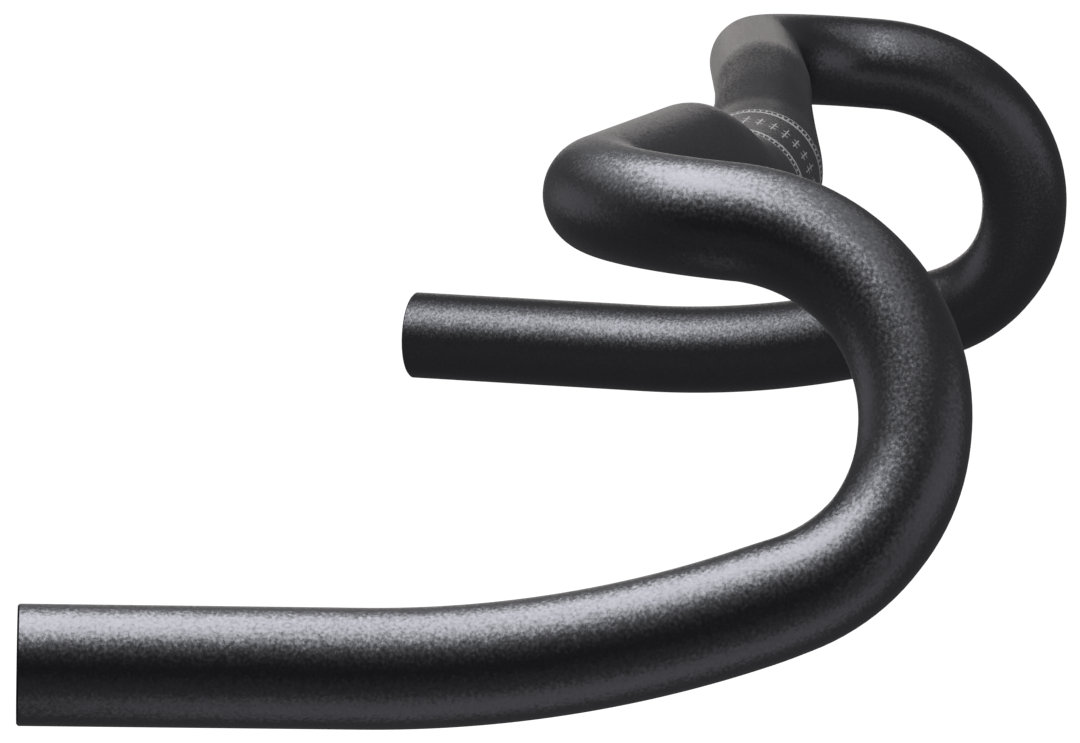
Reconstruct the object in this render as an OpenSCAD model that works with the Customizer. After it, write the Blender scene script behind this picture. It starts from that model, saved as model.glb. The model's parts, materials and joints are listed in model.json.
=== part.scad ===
// Swept-back handlebar: one length of alloy tube, swaged out to a clamp zone in the
// middle and bent the same way on both sides into a raised top, a short ramp and a
// shallow hook that flares outwards.
//
// Frame: origin at the middle of the clamp zone, +X along it to the rider's right,
// +Y forwards, +Z up. Sizes in mm, angles in degrees.
//
// The tube is laid out as a bender reads it. Each bend has a straight before it, a turn
// of the bend plane about the tube, a bend angle and a bend radius on the centre line.
// A turn is measured from the plane of the bend before.

/* [Tube] */
// outside diameter along the tops, hooks and grips
tube_d = 23.8; // [22.2:0.1:26]
// outside diameter of the clamp zone
clamp_d = 31.8; // [25.4:0.1:35]
// length of the clamp zone that stays straight and at full diameter
clamp_length = 56; // [44:1:80]
// thickness of the wall, the same all along
wall = 1.8; // [1.2:0.1:3]
// width of the bevel on the inner and outer edge of each cut end
edge_bevel = 0.4; // [0.2:0.1:0.8]

/* [Rise and tops] */
// angle that the tube climbs at beside the clamp
rise_angle = 21; // [0:0.5:40]
// angle of the bends that level it again
level_angle = 20.8; // [0:0.1:40]
// radius of the two climbing bends
rise_radius = 50; // [40:1:120]
// radius of the two levelling bends
level_radius = 85; // [40:1:160]
// length of the cone in the middle of the climb
climb_length = 11; // [5:1:40]
// length of the shorter cone inside each pair of bends
swage_length = 8; // [4:1:20]
// how far the climb leans back from straight up
rise_lean = 9; // [-20:0.5:20]
// how far the levelling bends miss the plane of the climb, which sweeps the tops back
tops_sweep = 17; // [0:0.5:40]
// straight length of each top
tops_length = 84; // [40:1:140]

/* [Corner] */
// turn that lays the corner bend level
corner_turn = 93; // [80:0.5:100]
// angle of the corner between the top and the ramp
corner_angle = 90; // [80:0.5:110]
// radius of the corner
corner_radius = 32; // [26:1:60]
// straight length of the ramp
ramp_length = 2; // [1:1:60]

/* [Hook and grip] */
// turn from the level corner down into the flared hook
hook_turn = -113.5; // [-130:0.5:-80]
// angle of the upper part of the hook
upper_angle = 87; // [60:1:110]
// radius of the upper part of the hook
upper_radius = 42.5; // [30:0.5:80]
// turn between the two parts of the hook
lower_turn = -11.5; // [-30:0.5:30]
// short straight between the two parts of the hook
hook_middle = 1; // [1:1:20]
// angle of the lower part of the hook
lower_angle = 63.5; // [40:0.5:90]
// radius of the lower part of the hook
lower_radius = 38; // [30:0.5:80]
// turn between the hook and the long easy curve of the drop
drop_turn = -6.5; // [-30:0.5:30]
// short straight before the curve of the drop
drop_lead = 4; // [1:1:20]
// angle of the curve of the drop
drop_angle = 20; // [5:0.5:40]
// radius of the curve of the drop
drop_radius = 235; // [100:5:400]
// straight length of each grip end
grip_length = 67; // [40:1:120]

/* [Part] */
// node to draw, or all

/* [Hidden] */
$fn = 96;
tube_r = tube_d / 2;
clamp_r = clamp_d / 2;
// share of the step from clamp size to tube size that is done after each cone
first_share = 0.33;
second_share = 0.88;
first_r = clamp_r - first_share * (clamp_r - tube_r);
second_r = clamp_r - second_share * (clamp_r - tube_r);
// The bends draw down by a hair, and each straight laps over the ends of its bends, so
// that neighbouring stretches join on a clean edge.
hair = 0.01;
lap = 0.3;
// how far a bore is run past a cut end, so that it opens cleanly
past_end = 2;
anodised = [0.10, 0.10, 0.11];

// Bends from the clamp outwards, each as
// [straight before it, tube radius by the end of that straight, turn, angle, bend radius]
BENDS = [
    [0, clamp_r, rise_lean, rise_angle / 2, rise_radius],
    [swage_length, first_r, 0, rise_angle / 2, rise_radius],
    [climb_length, second_r, 180 - tops_sweep, level_angle / 2, level_radius],
    [swage_length, tube_r, 0, level_angle / 2, level_radius],
    [tops_length, tube_r, corner_turn, corner_angle, corner_radius],
    [ramp_length, tube_r, hook_turn, upper_angle, upper_radius],
    [hook_middle, tube_r, lower_turn, lower_angle, lower_radius],
    [drop_lead, tube_r, drop_turn, drop_angle, drop_radius],
];

// Movements as matrices, so that each stretch is placed once, from the clamp.
function shift(v) = [[1, 0, 0, v[0]], [0, 1, 0, v[1]], [0, 0, 1, v[2]], [0, 0, 0, 1]];
function turn_z(a) = [[cos(a), -sin(a), 0, 0], [sin(a), cos(a), 0, 0], [0, 0, 1, 0], [0, 0, 0, 1]];
function tilt_y(a) = [[cos(a), 0, sin(a), 0], [0, 1, 0, 0], [-sin(a), 0, cos(a), 0], [0, 0, 0, 1]];

// From the start of a row of BENDS to the start of its bend, and on to the bend's end.
function to_bend(row) = shift([0, 0, row[0]]) * turn_z(row[2]);
function past_bend(row) =
    to_bend(row) * shift([row[4], 0, 0]) * tilt_y(row[3]) * shift([-row[4], 0, 0]);

// Start of row k: +Z runs along the tube, and the bend before curved towards +X.
// The first row starts at the end of the clamp zone and bends upwards.
START = shift([clamp_length / 2, 0, 0])
    * [[0, 0, 1, 0], [0, -1, 0, 0], [1, 0, 0, 0], [0, 0, 0, 1]];
function frame_at(k) = k == 0 ? START : frame_at(k - 1) * past_bend(BENDS[k - 1]);

// One bend from the origin along +Z, curving towards +X.
module bend(angle, radius, r) {
    translate([radius, 0, 0])
        rotate([90, 0, 180])
            rotate_extrude(angle = angle)
                translate([radius, 0])
                    circle(r = r - hair);
}

// One straight along +Z, which may taper, with a lap past each end.
module straight(length, r0, r1) {
    if (r0 == r1)
        translate([0, 0, -lap])
            cylinder(h = length + 2 * lap, r = r0);
    else
        rotate_extrude()
            polygon([
                [0, -lap], [r0, -lap], [r0, 0],
                [r1, length], [r1, length + lap], [0, length + lap]
            ]);
}

// The grip end, bevelled where it is cut. Its bore opens out by the same bevel.
module grip(depth) {
    r = tube_r - depth;
    bevel_start = grip_length - edge_bevel;
    rotate_extrude()
        polygon(depth == 0
            ? [[0, -lap], [r, -lap], [r, bevel_start], [r - edge_bevel, grip_length],
               [0, grip_length]]
            : [[0, -lap], [r, -lap], [r, bevel_start],
               [r + edge_bevel + past_end, grip_length + past_end],
               [0, grip_length + past_end]]);
}

// Row k: its straight and then its bend. The clamp zone is the first row's straight.
module stretch(k, depth) {
    r = BENDS[k][1] - depth;
    if (k > 0)
        multmatrix(frame_at(k))
            straight(BENDS[k][0], BENDS[k - 1][1] - depth, r);
    multmatrix(frame_at(k) * to_bend(BENDS[k]))
        bend(BENDS[k][3], BENDS[k][4], r);
}

// The right half beyond the clamp zone, as a solid rod whose skin lies the given depth
// inside the tube's outer skin.
module half(depth) {
    for (k = [0 : len(BENDS) - 1])
        stretch(k, depth);
    multmatrix(frame_at(len(BENDS)))
        grip(depth);
}

// The whole bar as such a rod.
module rod(depth) {
    translate([-clamp_length / 2, 0, 0])
        rotate([0, 90, 0])
            straight(clamp_length, clamp_r - depth, clamp_r - depth);
    half(depth);
    mirror([1, 0, 0])
        half(depth);
}

module handlebar() {
    color(anodised)
        difference() {
            rod(0);
            rod(wall);
        }
}

handlebar();
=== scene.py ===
"""Looks of a swept-back handlebar: one bent alloy tube, bead-blasted and anodised near-black.

The tube is modelled again from the same bender's table as the solid, with the smooth taper and
the slight flattening that bending gives it. Lengths are in metres, in the frame of the solid,
except for places along the tube, which are in mm from its middle.
"""

import json
from collections import namedtuple
from math import ceil, cos, pi, radians, sin

import bmesh
import bpy
from mathutils import Matrix, Vector

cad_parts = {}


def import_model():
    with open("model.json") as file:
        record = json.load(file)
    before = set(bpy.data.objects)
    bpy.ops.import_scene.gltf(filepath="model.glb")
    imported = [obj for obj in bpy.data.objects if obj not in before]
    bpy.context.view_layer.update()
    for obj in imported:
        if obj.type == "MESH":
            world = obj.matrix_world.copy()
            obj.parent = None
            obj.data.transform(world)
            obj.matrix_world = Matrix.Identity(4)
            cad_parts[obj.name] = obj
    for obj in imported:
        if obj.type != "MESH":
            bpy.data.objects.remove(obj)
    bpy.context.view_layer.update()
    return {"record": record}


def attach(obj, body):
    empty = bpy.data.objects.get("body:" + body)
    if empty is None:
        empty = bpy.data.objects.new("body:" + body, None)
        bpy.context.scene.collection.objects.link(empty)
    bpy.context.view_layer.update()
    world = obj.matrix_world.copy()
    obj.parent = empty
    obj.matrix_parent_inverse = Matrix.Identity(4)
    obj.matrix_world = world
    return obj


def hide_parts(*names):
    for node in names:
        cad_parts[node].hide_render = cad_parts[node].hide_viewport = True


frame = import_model()

MM = 0.001
FULL_TURN = 360


def mount_radius(name):
    """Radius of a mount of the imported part."""
    mount = next(m for m in frame["record"]["mounts"] if m["name"] == name)
    return mount["dims"]["r_mm"] * MM


# Tube
CLAMP_R = mount_radius("stem_clamp")
TUBE_R = mount_radius("grip_right")
WALL = TUBE_R - mount_radius("end_bore_right")
BEVEL = 0.4 * MM

# Swage, from where the clamp size ends to where the tube size is reached
TAPER_FROM = 29.0
TAPER_TO = 82.0

# Bends of the right half from the middle outwards: the straight before a bend in mm, the turn of
# its plane in degrees, its angle in degrees and its radius in mm
Bend = namedtuple("Bend", "straight turn angle radius")
CLIMB = [
    Bend(straight=28, turn=9, angle=10.5, radius=50),
    Bend(straight=8, turn=0, angle=10.5, radius=50),
]
LEVEL = [
    Bend(straight=11, turn=163, angle=10.4, radius=85),
    Bend(straight=8, turn=0, angle=10.4, radius=85),
]
CORNER = Bend(straight=84, turn=93, angle=90, radius=32)
UPPER_HOOK = Bend(straight=2, turn=-113.5, angle=87, radius=42.5)
LOWER_HOOK = Bend(straight=1, turn=-11.5, angle=63.5, radius=38)
DROP = Bend(straight=4, turn=-6.5, angle=20, radius=235)
BENDS = [*CLIMB, *LEVEL, CORNER, UPPER_HOOK, LOWER_HOOK, DROP]
GRIP_LENGTH = 67.0

# Flattening of the section at the middle of each part of the hook, as a share of its width in the
# plane of the bend, and how far in mm it starts and ends outside the hook
UPPER_FLAT = 0.03
LOWER_FLAT = 0.07
FLAT_LEAD = 5.0

# Mesh, with the steps between rings in mm on the outside and in outside rings in the bore
RING_STEP = 2.0
BORE_STEP = 3
BORE_SIDES = 60
SIDES = 2 * BORE_SIDES
SHARP_ANGLE = 30

# Place of the bevels' material in the tube's list of materials
BEVEL_SLOT = 1

# Printed marks in the clamp zone, placed along the tube and in degrees about it
INK_LIFT = 0.02 * MM
INK_SINK = 0.10 * MM
RING_MARK = (22.6, 25.2)
HATCH_MARK = (25.8, 29.6)
HATCH_STEP = 5.0
HATCH_WIDTH = 1.6
EDGE_MARK = (30.6, 31.6)
SCALE_STEP = 12.0
SCALE_WIDTH = 1.1
SCALE_SHORT = 8.0
SCALE_LONG = 10.0
SCALE_LONG_EVERY = 3
CROSS_MARK = (2.6, 3.8)
CROSS_WIDTH = 7.0
ARC_STEP = 3.0

# Blasted and anodised skin, with the noise values at which its two tones are reached
GRAIN_SCALE = 1350.0
GRAIN_TILT = 0.43
SKIN_DARK = (0.120, 0.120, 0.128, 1)
SKIN_PALE = (0.138, 0.138, 0.147, 1)
SKIN_DARK_AT = 0.35
SKIN_PALE_AT = 0.70
SKIN_ROUGHNESS = 0.37

# Turned bevels
BEVEL_COLOUR = (0.03, 0.03, 0.032, 1)
BEVEL_ROUGHNESS = 0.45

# Ink, with the noise values at which its two tones are reached
INK_SCALE = 900.0
INK_DARK = (0.26, 0.26, 0.26, 1)
INK_PALE = (0.42, 0.42, 0.42, 1)
INK_DARK_AT = 0.35
INK_PALE_AT = 0.65
INK_ROUGHNESS = 0.5

NOISE_DETAIL = 2.0
NOISE_MIDDLE = (0.5, 0.5, 0.5)

# Camera, from the fit to the outline in the photograph, with its angles in degrees
FRAME_W = 1080
FOCAL_PX = 6774.6
SENSOR_MM = 36.0
CAMERA_AT = Vector((1.5687, 0.1323, 0.1445))
CAMERA_YAW = 6.534
CAMERA_PITCH = 6.824
CAMERA_ROLL = -0.842
# how far it sees
CAMERA_SIGHT = 50

# Colours of the studio
WHITE = (1, 1, 1, 1)
BLACK = (0, 0, 0, 1)
COOL = (0.97, 0.98, 1.0)
WARM = (1.0, 0.95, 0.91)
SLATE = (0.98, 0.97, 1.03)

# World, as light on surfaces and as it is seen
WORLD_LIGHT = 0.25
WORLD_SEEN = 1.0

# Floor. The lamps light it up to FLOOR_LIT from its middle and hardly beyond FLOOR_UNLIT, and its
# glow for the camera rises between the two.
FLOOR_Z = -0.40
FLOOR_HALF = 8.0
FLOOR_COLOUR = (0.85, 0.85, 0.85, 1)
FLOOR_LIT = 0.3
FLOOR_UNLIT = 1.5
FLOOR_GLOW_NEAR = 0.15
FLOOR_GLOW_FAR = 0.85

# Dark tent round the bar, which only reflections see, with a gap between it and the floor and
# between it and the cards in it
STUDIO_GAP = 0.01
TENT_HALF = 1.6
TENT_BOTTOM = FLOOR_Z + STUDIO_GAP
TENT_TOP = 0.66
TENT_GLOW = 0.11
FRONT_GLOW = 0.02

# Pale cards inside the tent, from the lowest to the highest corner, each flat in one axis
Card = namedtuple("Card", "name low high radiance tint")
CARD_SIDE = TENT_HALF - STUDIO_GAP
CARD_BOTTOM = TENT_BOTTOM + STUDIO_GAP
CARD_TOP = TENT_TOP - 2 * STUDIO_GAP
CARD_GLOW = 0.48
BACK_GLOW_LOW = 1.20
BACK_GLOW_HIGH = 0.60
CARDS = [
    Card("card_right", (-0.54, CARD_SIDE, FLOOR_Z), (1.55, CARD_SIDE, CARD_TOP), CARD_GLOW, SLATE),
    Card("card_left", (-1.28, -CARD_SIDE, FLOOR_Z), (0.32, -CARD_SIDE, 0.42), CARD_GLOW, SLATE),
    Card("card_back_low", (-CARD_SIDE, -0.50, -0.30), (-CARD_SIDE, 0.04, 0.25), BACK_GLOW_LOW, WARM),
    Card("card_back_high", (-CARD_SIDE, -0.61, 0.25), (-CARD_SIDE, 0.06, CARD_TOP), BACK_GLOW_HIGH, WARM),
    Card("card_floor", (0.22, -0.10, CARD_BOTTOM), (0.50, 1.55, CARD_BOTTOM), CARD_GLOW, SLATE),
]

# Softboxes over the bar, with x and y of two opposite corners
Softbox = namedtuple("Softbox", "name low high height radiance")
SOFTBOXES = [
    Softbox("softbox_key", low=(-0.17, -0.43), high=(0.64, 0.04), height=0.65, radiance=5.0),
    Softbox("softbox_wide", low=(-0.48, -0.97), high=(0.80, 0.45), height=0.655, radiance=0.66),
]


# A place on the centre line: how far along it is, where it is, the way on, the way to the middle
# of the bend and the direction in which each ring starts
Station = namedtuple("Station", "along point tangent normal side")


class Walk:
    """A walk along the centre line from the middle outwards, with a station at each step."""

    def __init__(self):
        self.along = 0.0
        self.point = Vector((0, 0, 0))
        self.tangent = Vector((1, 0, 0))
        self.normal = Vector((0, 0, 1))
        self.side = Vector((0, 0, 1))
        self.stations = []
        self.leave_station()

    def leave_station(self):
        here = (self.point.copy(), self.tangent.copy(), self.normal.copy(), self.side.copy())
        self.stations.append(Station(self.along, *here))

    def straight(self, length):
        steps = max(1, ceil(length / RING_STEP))
        for _ in range(steps):
            self.point = self.point + self.tangent * (length / steps) * MM
            self.along += length / steps
            self.leave_station()

    def turn_plane(self, angle):
        self.normal.rotate(Matrix.Rotation(radians(angle), 3, self.tangent))

    def bend(self, angle, radius):
        """Walks round a bend. Returns where it starts and ends."""
        start = self.along
        length = radians(angle) * radius
        steps = ceil(length / RING_STEP)
        turn_by = Matrix.Rotation(radians(angle) / steps, 3, self.tangent.cross(self.normal))
        for _ in range(steps):
            centre = self.point + self.normal * radius * MM
            self.point = centre + turn_by @ (self.point - centre)
            for direction in (self.tangent, self.normal, self.side):
                direction.rotate(turn_by)
            self.along += length / steps
            self.leave_station()
        return start, self.along


def centre_line():
    """Stations of the right half, and where each bend starts and ends."""
    walk = Walk()
    spans = []
    for bend in BENDS:
        walk.straight(bend.straight)
        walk.turn_plane(bend.turn)
        spans.append(walk.bend(bend.angle, bend.radius))
    walk.straight(GRIP_LENGTH)
    return walk.stations, spans


def smooth_step(share):
    share = min(max(share, 0.0), 1.0)
    return share * share * (3 - 2 * share)


def outer_radius(along):
    taper = smooth_step((along - TAPER_FROM) / (TAPER_TO - TAPER_FROM))
    return CLAMP_R + (TUBE_R - CLAMP_R) * taper


def bore_radius(along):
    return outer_radius(along) - WALL


def flattening(along, spans):
    """Share by which the section is narrowed in the plane of the bend."""
    upper = spans[BENDS.index(UPPER_HOOK)]
    lower = spans[BENDS.index(LOWER_HOOK)]
    knots = [
        (upper[0] - FLAT_LEAD, 0.0),
        (sum(upper) / 2, UPPER_FLAT),
        (sum(lower) / 2, LOWER_FLAT),
        (lower[1] + FLAT_LEAD, 0.0),
    ]
    for (start, flat), (end, next_flat) in zip(knots, knots[1:]):
        if start <= along <= end:
            return flat + (next_flat - flat) * (along - start) / (end - start)
    return 0.0


def ring(station, radius, sides, flat=0.0):
    """Points round the tube at a station."""
    across = station.tangent.cross(station.side)
    points = []
    for index in range(sides):
        angle = 2 * pi * index / sides
        offset = radius * (cos(angle) * station.side + sin(angle) * across)
        offset -= flat * offset.dot(station.normal) * station.normal
        points.append(station.point + offset)
    return points


def half_rings(stations, spans, radius_at, sides, step):
    """Rings of the right half at every step-th station and at the last one."""
    kept = stations[:-1:step] + stations[-1:]
    return [ring(at, radius_at(at.along), sides, flattening(at.along, spans)) for at in kept]


def both_halves(rings):
    """Rings of the whole bar from the left end to the right end, the left mirrored."""
    left = [[Vector((-p.x, p.y, p.z)) for p in points] for points in reversed(rings[1:])]
    return left + rings


def add_rings(verts, faces, rings, inwards=False):
    """Adds rings and the quads between them. Returns where the first and last ring start."""
    sides = len(rings[0])
    first = len(verts)
    last = first + (len(rings) - 1) * sides
    for points in rings:
        verts.extend(points)
    for start in range(first, last, sides):
        for index in range(sides):
            here = start + index
            beside = start + (index + 1) % sides
            quad = (here, beside, beside + sides, here + sides)
            faces.append(quad[::-1] if inwards else quad)
    return first, last


def join_ends(faces, outer_start, bore_start, flip):
    """The cut face between the outside and the bore, which has half as many sides."""
    for index in range(BORE_SIDES):
        outer = [outer_start + (2 * index + step) % SIDES for step in range(3)]
        face = (*outer, bore_start + (index + 1) % BORE_SIDES, bore_start + index)
        faces.append(face[::-1] if flip else face)


def tube_mesh():
    """The whole bar as one closed mesh: outside, bevelled cut ends and bore."""
    stations, spans = centre_line()
    end = stations[-1]
    at_bevel = end._replace(along=end.along - BEVEL / MM, point=end.point - end.tangent * BEVEL)
    body = stations[:-1] + [at_bevel]
    outer = half_rings(body, spans, outer_radius, SIDES, 1)
    outer.append(ring(end, TUBE_R - BEVEL, SIDES))
    bore = half_rings(body, spans, bore_radius, BORE_SIDES, BORE_STEP)
    bore.append(ring(end, TUBE_R - WALL + BEVEL, BORE_SIDES))

    verts = []
    faces = []
    outer_left, outer_right = add_rings(verts, faces, both_halves(outer))
    # the first and the last band of the outside are the bevels
    bevels = [*range(SIDES), *range(len(faces) - SIDES, len(faces))]
    bore_left, bore_right = add_rings(verts, faces, both_halves(bore), inwards=True)
    join_ends(faces, outer_left, bore_left, flip=True)
    join_ends(faces, outer_right, bore_right, flip=False)

    mesh = bpy.data.meshes.new("handlebar_tube")
    mesh.from_pydata([tuple(v) for v in verts], [], faces)
    mesh.validate()
    mesh.shade_smooth()
    mesh.set_sharp_from_angle(angle=radians(SHARP_ANGLE))
    for index in bevels:
        mesh.polygons[index].material_index = BEVEL_SLOT
    return mesh


def skin_point(stations, along, angle, lift):
    """A point over the outer skin of the right half, at an angle in degrees about it."""
    before, after = next(pair for pair in zip(stations, stations[1:]) if along <= pair[1].along)
    ends = []
    for at in (before, after):
        outwards = cos(radians(angle)) * at.side + sin(radians(angle)) * at.tangent.cross(at.side)
        ends.append(at.point + (outer_radius(at.along) + lift) * outwards)
    return ends[0].lerp(ends[1], (along - before.along) / (after.along - before.along))


def ink_patch(bm, stations, span, angles, mirrored=False):
    """A thin closed patch of ink over a span of the tube and an arc about it."""
    start, end = span
    corners = [(start, -INK_SINK), (start, INK_LIFT), (end, INK_LIFT), (end, -INK_SINK)]
    arc = angles[1] - angles[0]
    closed = arc >= FULL_TURN
    count = max(1, ceil(arc / ARC_STEP))
    rows = []
    for index in range(count if closed else count + 1):
        row = []
        for along, lift in corners:
            point = skin_point(stations, abs(along), angles[0] + arc * index / count, lift)
            # the scale reaches over the middle of the bar, and marks repeat on the left half
            if (along < 0) != mirrored:
                point.x = -point.x
            row.append(bm.verts.new(point))
        rows.append(row)
    pairs = list(zip(rows, rows[1:]))
    if closed:
        pairs.append((rows[-1], rows[0]))
    for row, next_row in pairs:
        for index in range(len(corners)):
            beside = (index + 1) % len(corners)
            bm.faces.new((row[index], row[beside], next_row[beside], next_row[index]))
    if not closed:
        bm.faces.new(rows[0][::-1])
        bm.faces.new(rows[-1])


def angles_about(step):
    """Angles all round the tube, a step apart."""
    return [index * step for index in range(round(FULL_TURN / step))]


def centred_arc(angle, width):
    return angle - width / 2, angle + width / 2


def marks_mesh():
    """Rings beside the stem's clamp, with a hatch outside them and a scale between them."""
    stations, _ = centre_line()
    bm = bmesh.new()
    for mirrored in (False, True):
        for span in (RING_MARK, EDGE_MARK):
            ink_patch(bm, stations, span, (0, FULL_TURN), mirrored)
        for angle in angles_about(HATCH_STEP):
            ink_patch(bm, stations, HATCH_MARK, (angle, angle + HATCH_WIDTH), mirrored)
        for angle in angles_about(SCALE_STEP):
            ink_patch(bm, stations, CROSS_MARK, centred_arc(angle, CROSS_WIDTH), mirrored)
    for index, angle in enumerate(angles_about(SCALE_STEP)):
        reach = SCALE_SHORT if index % SCALE_LONG_EVERY else SCALE_LONG
        ink_patch(bm, stations, (-reach, reach), centred_arc(angle, SCALE_WIDTH))
    bmesh.ops.recalc_face_normals(bm, faces=bm.faces)
    mesh = bpy.data.meshes.new("clamp_marks")
    bm.to_mesh(mesh)
    bm.free()
    return mesh


def new_material(name):
    material = bpy.data.materials.new(name)
    material.use_nodes = True
    return material, material.node_tree, material.node_tree.nodes["Principled BSDF"]


def new_node(tree, kind, **settings):
    made = tree.nodes.new(kind)
    for name, value in settings.items():
        setattr(made, name, value)
    return made


def set_inputs(made, values):
    for name, value in values.items():
        made.inputs[name].default_value = value


def vector_maths(tree, operation, *sources):
    """A vector maths node that is fed from other nodes' outputs."""
    made = new_node(tree, "ShaderNodeVectorMath", operation=operation)
    for source, socket in zip(sources, made.inputs):
        tree.links.new(source, socket)
    return made


def fine_noise(tree, scale):
    """Noise that is fixed to the piece."""
    noise = new_node(tree, "ShaderNodeTexNoise", noise_dimensions="3D")
    set_inputs(noise, {"Scale": scale, "Detail": NOISE_DETAIL})
    place = new_node(tree, "ShaderNodeTexCoord").outputs["Object"]
    tree.links.new(place, noise.inputs["Vector"])
    return noise


def two_tones(tree, noise, shader, dark, dark_at, pale, pale_at):
    """Colours a shader between two tones by a noise."""
    tone = new_node(tree, "ShaderNodeValToRGB")
    for stop, colour, position in zip(tone.color_ramp.elements, (dark, pale), (dark_at, pale_at)):
        stop.position = position
        stop.color = colour
    tree.links.new(noise.outputs["Fac"], tone.inputs["Fac"])
    tree.links.new(tone.outputs["Color"], shader.inputs["Base Color"])


def tilted_specks(tree, noise, shader):
    """Turns the surface a little, each speck of the noise its own way."""
    centred = vector_maths(tree, "SUBTRACT", noise.outputs["Color"])
    centred.inputs[1].default_value = NOISE_MIDDLE
    tilt = vector_maths(tree, "SCALE", centred.outputs["Vector"])
    tilt.inputs["Scale"].default_value = GRAIN_TILT
    flat = new_node(tree, "ShaderNodeNewGeometry").outputs["Normal"]
    tilted = vector_maths(tree, "ADD", flat, tilt.outputs["Vector"])
    facing = vector_maths(tree, "NORMALIZE", tilted.outputs["Vector"])
    tree.links.new(facing.outputs["Vector"], shader.inputs["Normal"])


def skin_material():
    """Fine bead blasting under near-black anodising."""
    material, tree, shader = new_material("blasted_anodised_black")
    grain = fine_noise(tree, GRAIN_SCALE)
    tilted_specks(tree, grain, shader)
    two_tones(tree, grain, shader, SKIN_DARK, SKIN_DARK_AT, SKIN_PALE, SKIN_PALE_AT)
    set_inputs(shader, {"Roughness": SKIN_ROUGHNESS, "Metallic": 1.0})
    return material


def bevel_material():
    """The turned bevels of the cut ends, which are darker than the blasted skin."""
    material, _, shader = new_material("turned_anodised_black")
    set_inputs(shader, {"Base Color": BEVEL_COLOUR, "Roughness": BEVEL_ROUGHNESS, "Metallic": 1.0})
    return material


def ink_material():
    """Light grey printing ink, a little uneven."""
    material, tree, shader = new_material("light_grey_ink")
    patchy = fine_noise(tree, INK_SCALE)
    two_tones(tree, patchy, shader, INK_DARK, INK_DARK_AT, INK_PALE, INK_PALE_AT)
    set_inputs(shader, {"Roughness": INK_ROUGHNESS})
    return material


def link_new(name, mesh):
    piece = bpy.data.objects.new(name, mesh)
    bpy.context.scene.collection.objects.link(piece)
    return piece


def bar():
    piece = link_new("handlebar_tube", tube_mesh())
    piece.data.materials.append(skin_material())
    piece.data.materials.append(bevel_material())
    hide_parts("handlebar")
    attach(piece, "root")


def clamp_marks():
    piece = link_new("clamp_marks", marks_mesh())
    piece.data.materials.append(ink_material())
    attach(piece, "root")


def camera():
    """The photograph's camera, which looks to -X, turned by its yaw, pitch and roll."""
    yaw, pitch, roll = radians(CAMERA_YAW), radians(CAMERA_PITCH), radians(CAMERA_ROLL)
    ahead = Vector((-cos(pitch) * cos(yaw), -cos(pitch) * sin(yaw), -sin(pitch)))
    level = ahead.cross(Vector((0, 0, 1))).normalized()
    down = ahead.cross(level)
    right = cos(roll) * level + sin(roll) * down
    up = sin(roll) * level - cos(roll) * down
    data = bpy.data.cameras.new("camera")
    data.sensor_width = SENSOR_MM
    data.lens = SENSOR_MM * FOCAL_PX / FRAME_W
    data.clip_end = CAMERA_SIGHT
    made = bpy.data.objects.new("camera", data)
    turn = Matrix((right, up, -ahead)).transposed().to_4x4()
    made.matrix_world = Matrix.Translation(CAMERA_AT) @ turn
    bpy.context.scene.collection.objects.link(made)
    bpy.context.scene.camera = made


def seen_directly(tree):
    """1 for camera, glossy and transmission rays, 0 for the rest."""
    path = new_node(tree, "ShaderNodeLightPath")
    first = new_node(tree, "ShaderNodeMath", operation="MAXIMUM")
    second = new_node(tree, "ShaderNodeMath", operation="MAXIMUM")
    tree.links.new(path.outputs["Is Camera Ray"], first.inputs[0])
    tree.links.new(path.outputs["Is Glossy Ray"], first.inputs[1])
    tree.links.new(first.outputs[0], second.inputs[0])
    tree.links.new(path.outputs["Is Transmission Ray"], second.inputs[1])
    return second.outputs[0]


def world():
    made = bpy.data.worlds.new("studio")
    made.use_nodes = True
    tree = made.node_tree
    background = tree.nodes["Background"]
    background.inputs["Color"].default_value = WHITE
    strength = new_node(tree, "ShaderNodeMapRange")
    set_inputs(strength, {"To Min": WORLD_LIGHT, "To Max": WORLD_SEEN})
    tree.links.new(seen_directly(tree), strength.inputs["Value"])
    tree.links.new(strength.outputs["Result"], background.inputs["Strength"])
    bpy.context.scene.world = made


def floor_glow(tree, shader):
    """Makes the floor glow where it is seen directly, so that it stays white far from the lamps."""
    place = new_node(tree, "ShaderNodeTexCoord").outputs["Object"]
    away = vector_maths(tree, "LENGTH", place)
    rise = new_node(tree, "ShaderNodeMapRange", interpolation_type="SMOOTHSTEP")
    set_inputs(rise, {"From Min": FLOOR_LIT, "From Max": FLOOR_UNLIT})
    set_inputs(rise, {"To Min": FLOOR_GLOW_NEAR, "To Max": FLOOR_GLOW_FAR})
    tree.links.new(away.outputs["Value"], rise.inputs["Value"])
    glow = new_node(tree, "ShaderNodeMath", operation="MULTIPLY")
    tree.links.new(seen_directly(tree), glow.inputs[0])
    tree.links.new(rise.outputs["Result"], glow.inputs[1])
    tree.links.new(glow.outputs[0], shader.inputs["Emission Strength"])


def clear_from_below(tree, shader):
    """Lets the view through the back of the floor, so that the bar shows from there too."""
    one_sided = new_node(tree, "ShaderNodeMixShader")
    back = new_node(tree, "ShaderNodeNewGeometry").outputs["Backfacing"]
    clear = new_node(tree, "ShaderNodeBsdfTransparent").outputs["BSDF"]
    tree.links.new(back, one_sided.inputs["Fac"])
    tree.links.new(shader.outputs["BSDF"], one_sided.inputs[1])
    tree.links.new(clear, one_sided.inputs[2])
    tree.links.new(one_sided.outputs["Shader"], tree.nodes["Material Output"].inputs["Surface"])


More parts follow.
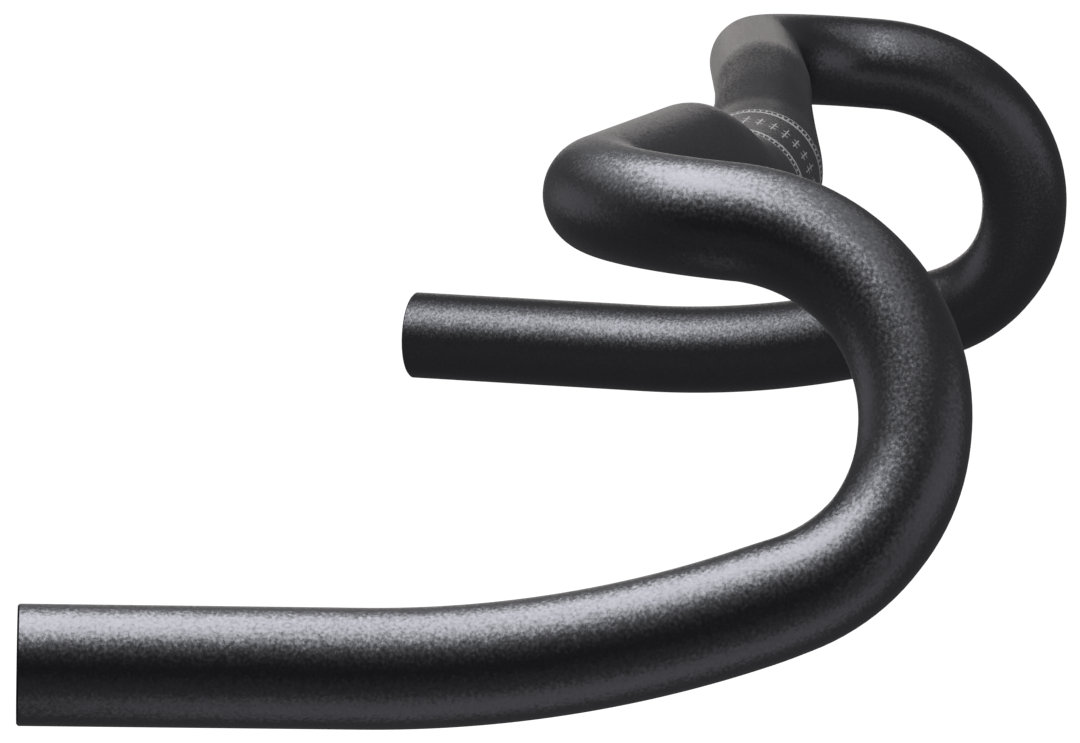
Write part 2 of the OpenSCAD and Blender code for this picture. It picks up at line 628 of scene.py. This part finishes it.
def floor():
    half, z = FLOOR_HALF, FLOOR_Z
    corners = [(-half, -half, z), (half, -half, z), (half, half, z), (-half, half, z)]
    mesh = bpy.data.meshes.new("floor")
    mesh.from_pydata(corners, [], [(0, 1, 2, 3)])
    piece = link_new("floor", mesh)
    material, tree, shader = new_material("pale_floor")
    set_inputs(shader, {"Base Color": FLOOR_COLOUR, "Roughness": 1.0, "Specular IOR Level": 0.0})
    set_inputs(shader, {"Emission Color": WHITE})
    floor_glow(tree, shader)
    clear_from_below(tree, shader)
    mesh.materials.append(material)


def card_material(name, radiance, tint):
    material, _, shader = new_material(name)
    set_inputs(shader, {"Base Color": BLACK, "Roughness": 1.0, "Specular IOR Level": 0.0})
    set_inputs(shader, {"Emission Color": (*tint, 1), "Emission Strength": radiance})
    return material


def card(name, low, high, radiance, tint):
    """A flat card that only reflections see, as studio cards stand outside the picture."""
    (x0, y0, z0), (x1, y1, z1) = low, high
    if x0 == x1:
        corners = [(x0, y0, z0), (x0, y1, z0), (x0, y1, z1), (x0, y0, z1)]
    elif y0 == y1:
        corners = [(x0, y0, z0), (x1, y0, z0), (x1, y0, z1), (x0, y0, z1)]
    else:
        corners = [(x0, y0, z0), (x1, y0, z0), (x1, y1, z0), (x0, y1, z0)]
    mesh = bpy.data.meshes.new(name)
    mesh.from_pydata(corners, [], [(0, 1, 2, 3)])
    mesh.materials.append(card_material(name, radiance, tint))
    piece = link_new(name, mesh)
    piece.visible_camera = False
    piece.visible_diffuse = False
    piece.visible_transmission = False
    piece.visible_shadow = False


def tent():
    half, low, top = TENT_HALF, TENT_BOTTOM, TENT_TOP
    card("tent_back", (-half, -half, low), (-half, half, top), TENT_GLOW, SLATE)
    card("tent_front", (half, -half, low), (half, half, top), FRONT_GLOW, SLATE)
    card("tent_right", (-half, half, low), (half, half, top), TENT_GLOW, SLATE)
    card("tent_left", (-half, -half, low), (half, -half, top), TENT_GLOW, SLATE)
    card("tent_floor", (-half, -half, low), (half, half, low), TENT_GLOW, SLATE)
    card("tent_top", (-half, -half, top), (half, half, top), TENT_GLOW, SLATE)
    for pale in CARDS:
        card(*pale)


def softbox(name, low, high, height, radiance):
    width, depth = high[0] - low[0], high[1] - low[1]
    data = bpy.data.lights.new(name, "AREA")
    data.shape = "RECTANGLE"
    data.size = width
    data.size_y = depth
    data.color = COOL
    data.energy = radiance * pi * width * depth
    made = bpy.data.objects.new(name, data)
    made.location = ((low[0] + high[0]) / 2, (low[1] + high[1]) / 2, height)
    made.visible_camera = False
    bpy.context.scene.collection.objects.link(made)


def lights():
    for box in SOFTBOXES:
        softbox(*box)


bpy.context.scene.view_settings.view_transform = "Standard"
camera()
bar()
clamp_marks()
floor()
tent()
world()
lights()
